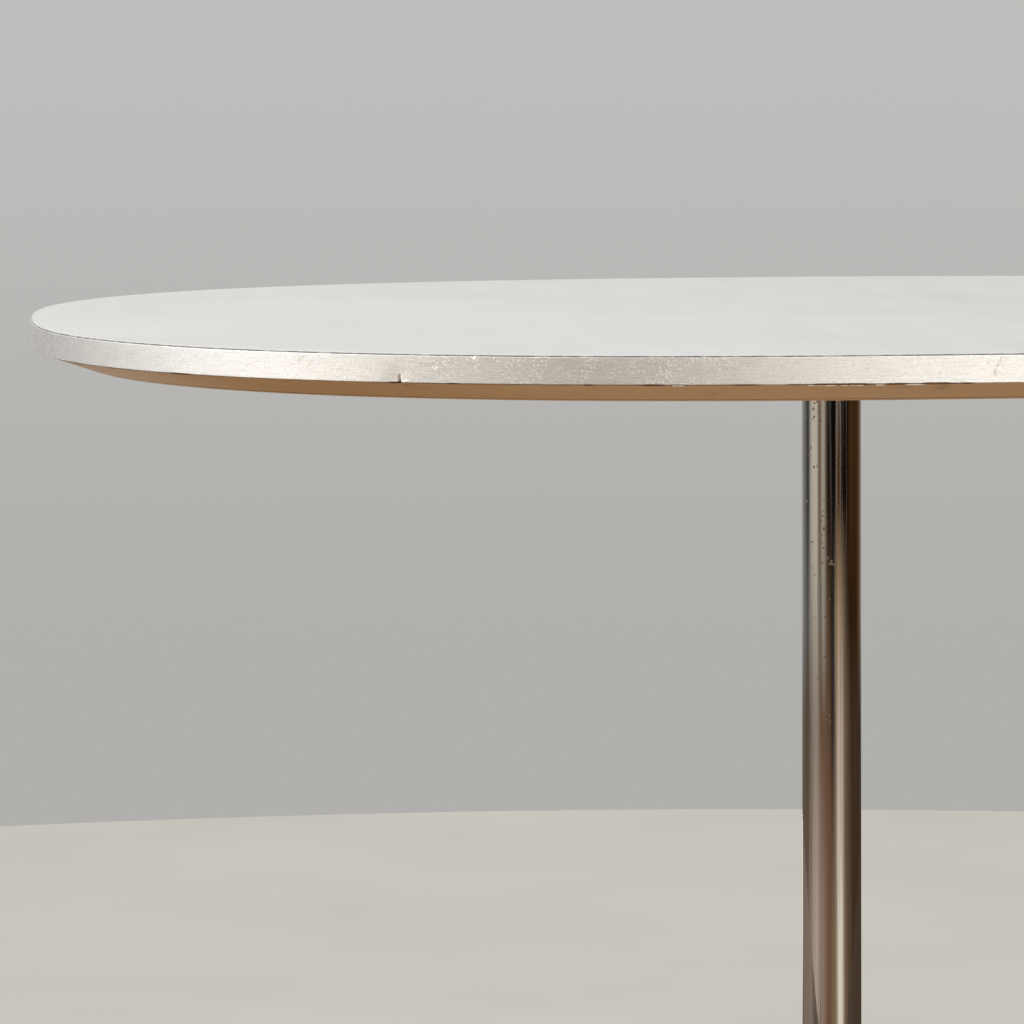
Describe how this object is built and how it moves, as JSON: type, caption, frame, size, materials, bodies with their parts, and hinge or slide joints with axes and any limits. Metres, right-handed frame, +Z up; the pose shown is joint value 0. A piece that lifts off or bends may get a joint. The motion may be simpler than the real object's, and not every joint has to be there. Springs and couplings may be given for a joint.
{
  "type": "bistro table",
  "caption": "Bistro table: squared-off round white laminate top with a brushed aluminium edge band and a bevelled underside, on a thin chromed column with a star base and levelling glides.",
  "frame": {"origin": "on the floor, below the middle of the column", "axes": "+Z up along the column; the two axes of the top's superellipse lie along X and Y"},
  "size_m": [0.75, 0.75, 0.72],
  "materials": {
    "white_laminate": "matt off-white high-pressure laminate",
    "brown_board": "satin brown lacquer on the bevel",
    "backing_laminate": "matt brown balancing laminate",
    "brushed_aluminium": "brushed lengthwise, worn and pitted",
    "chromed_steel": "polished chrome with fine pits",
    "zinc_steel": "zinc plated",
    "black_plastic": "matt black moulded plastic"
  },
  "bodies": {
    "table": {"top_laminate": "white_laminate", "core_board": "brown_board", "backing_sheet": "backing_laminate", "edge_band": "brushed_aluminium", "mounting_plate": "zinc_steel", "top_spigot": "zinc_steel", "column_tube": "chromed_steel", "tie_rod": "zinc_steel", "tie_rod_washer": "zinc_steel", "tie_rod_nut": "zinc_steel", "column_collar": "chromed_steel", "base_hub": "chromed_steel", "hub_cover": "black_plastic", "plate_screw_1": "zinc_steel", "plate_screw_2": "zinc_steel", "plate_screw_3": "zinc_steel", "plate_screw_4": "zinc_steel", "plate_screw_5": "zinc_steel", "plate_screw_6": "zinc_steel", "plate_screw_7": "zinc_steel", "plate_screw_8": "zinc_steel", "leg_1": "chromed_steel", "leg_bolt_1": "zinc_steel", "leg_washer_1": "zinc_steel", "glide_insert_1": "zinc_steel", "glide_lock_nut_1": "zinc_steel", "leg_2": "chromed_steel", "leg_bolt_2": "zinc_steel", "leg_washer_2": "zinc_steel", "glide_insert_2": "zinc_steel", "glide_lock_nut_2": "zinc_steel", "leg_3": "chromed_steel", "leg_bolt_3": "zinc_steel", "leg_washer_3": "zinc_steel", "glide_insert_3": "zinc_steel", "glide_lock_nut_3": "zinc_steel", "leg_4": "chromed_steel", "leg_bolt_4": "zinc_steel", "leg_washer_4": "zinc_steel", "glide_insert_4": "zinc_steel", "glide_lock_nut_4": "zinc_steel"},
    "glide_pad_1": {"glide_pad_1": "black_plastic"},
    "glide_spindle_1": {"glide_spindle_1": "zinc_steel"},
    "glide_pad_2": {"glide_pad_2": "black_plastic"},
    "glide_spindle_2": {"glide_spindle_2": "zinc_steel"},
    "glide_pad_3": {"glide_pad_3": "black_plastic"},
    "glide_spindle_3": {"glide_spindle_3": "zinc_steel"},
    "glide_pad_4": {"glide_pad_4": "black_plastic"},
    "glide_spindle_4": {"glide_spindle_4": "zinc_steel"}
  },
  "joints": [
    {"name": "glide_travel_1", "type": "slide", "parent": "table", "child": "glide_pad_1", "axis": [0, 0, -1], "range_m": [0, 0.008]},
    {"name": "glide_turn_1", "type": "hinge", "parent": "glide_pad_1", "child": "glide_spindle_1", "pos_m": [0.21072, 0.21072, 0.009], "axis": [0, 0, -1], "range_deg": [0, 2304]},
    {"name": "glide_travel_2", "type": "slide", "parent": "table", "child": "glide_pad_2", "axis": [0, 0, -1], "range_m": [0, 0.008]},
    {"name": "glide_turn_2", "type": "hinge", "parent": "glide_pad_2", "child": "glide_spindle_2", "pos_m": [-0.21072, 0.21072, 0.009], "axis": [0, 0, -1], "range_deg": [0, 2304]},
    {"name": "glide_travel_3", "type": "slide", "parent": "table", "child": "glide_pad_3", "axis": [0, 0, -1], "range_m": [0, 0.008]},
    {"name": "glide_turn_3", "type": "hinge", "parent": "glide_pad_3", "child": "glide_spindle_3", "pos_m": [-0.21072, -0.21072, 0.009], "axis": [0, 0, -1], "range_deg": [0, 2304]},
    {"name": "glide_travel_4", "type": "slide", "parent": "table", "child": "glide_pad_4", "axis": [0, 0, -1], "range_m": [0, 0.008]},
    {"name": "glide_turn_4", "type": "hinge", "parent": "glide_pad_4", "child": "glide_spindle_4", "pos_m": [0.21072, -0.21072, 0.009], "axis": [0, 0, -1], "range_deg": [0, 2304]}
  ],
  "couplings": [
    {"joint": "glide_travel_1", "follows": "glide_turn_1", "m_per_rad": 0.00019894},
    {"joint": "glide_travel_2", "follows": "glide_turn_2", "m_per_rad": 0.00019894},
    {"joint": "glide_travel_3", "follows": "glide_turn_3", "m_per_rad": 0.00019894},
    {"joint": "glide_travel_4", "follows": "glide_turn_4", "m_per_rad": 0.00019894}
  ]
}
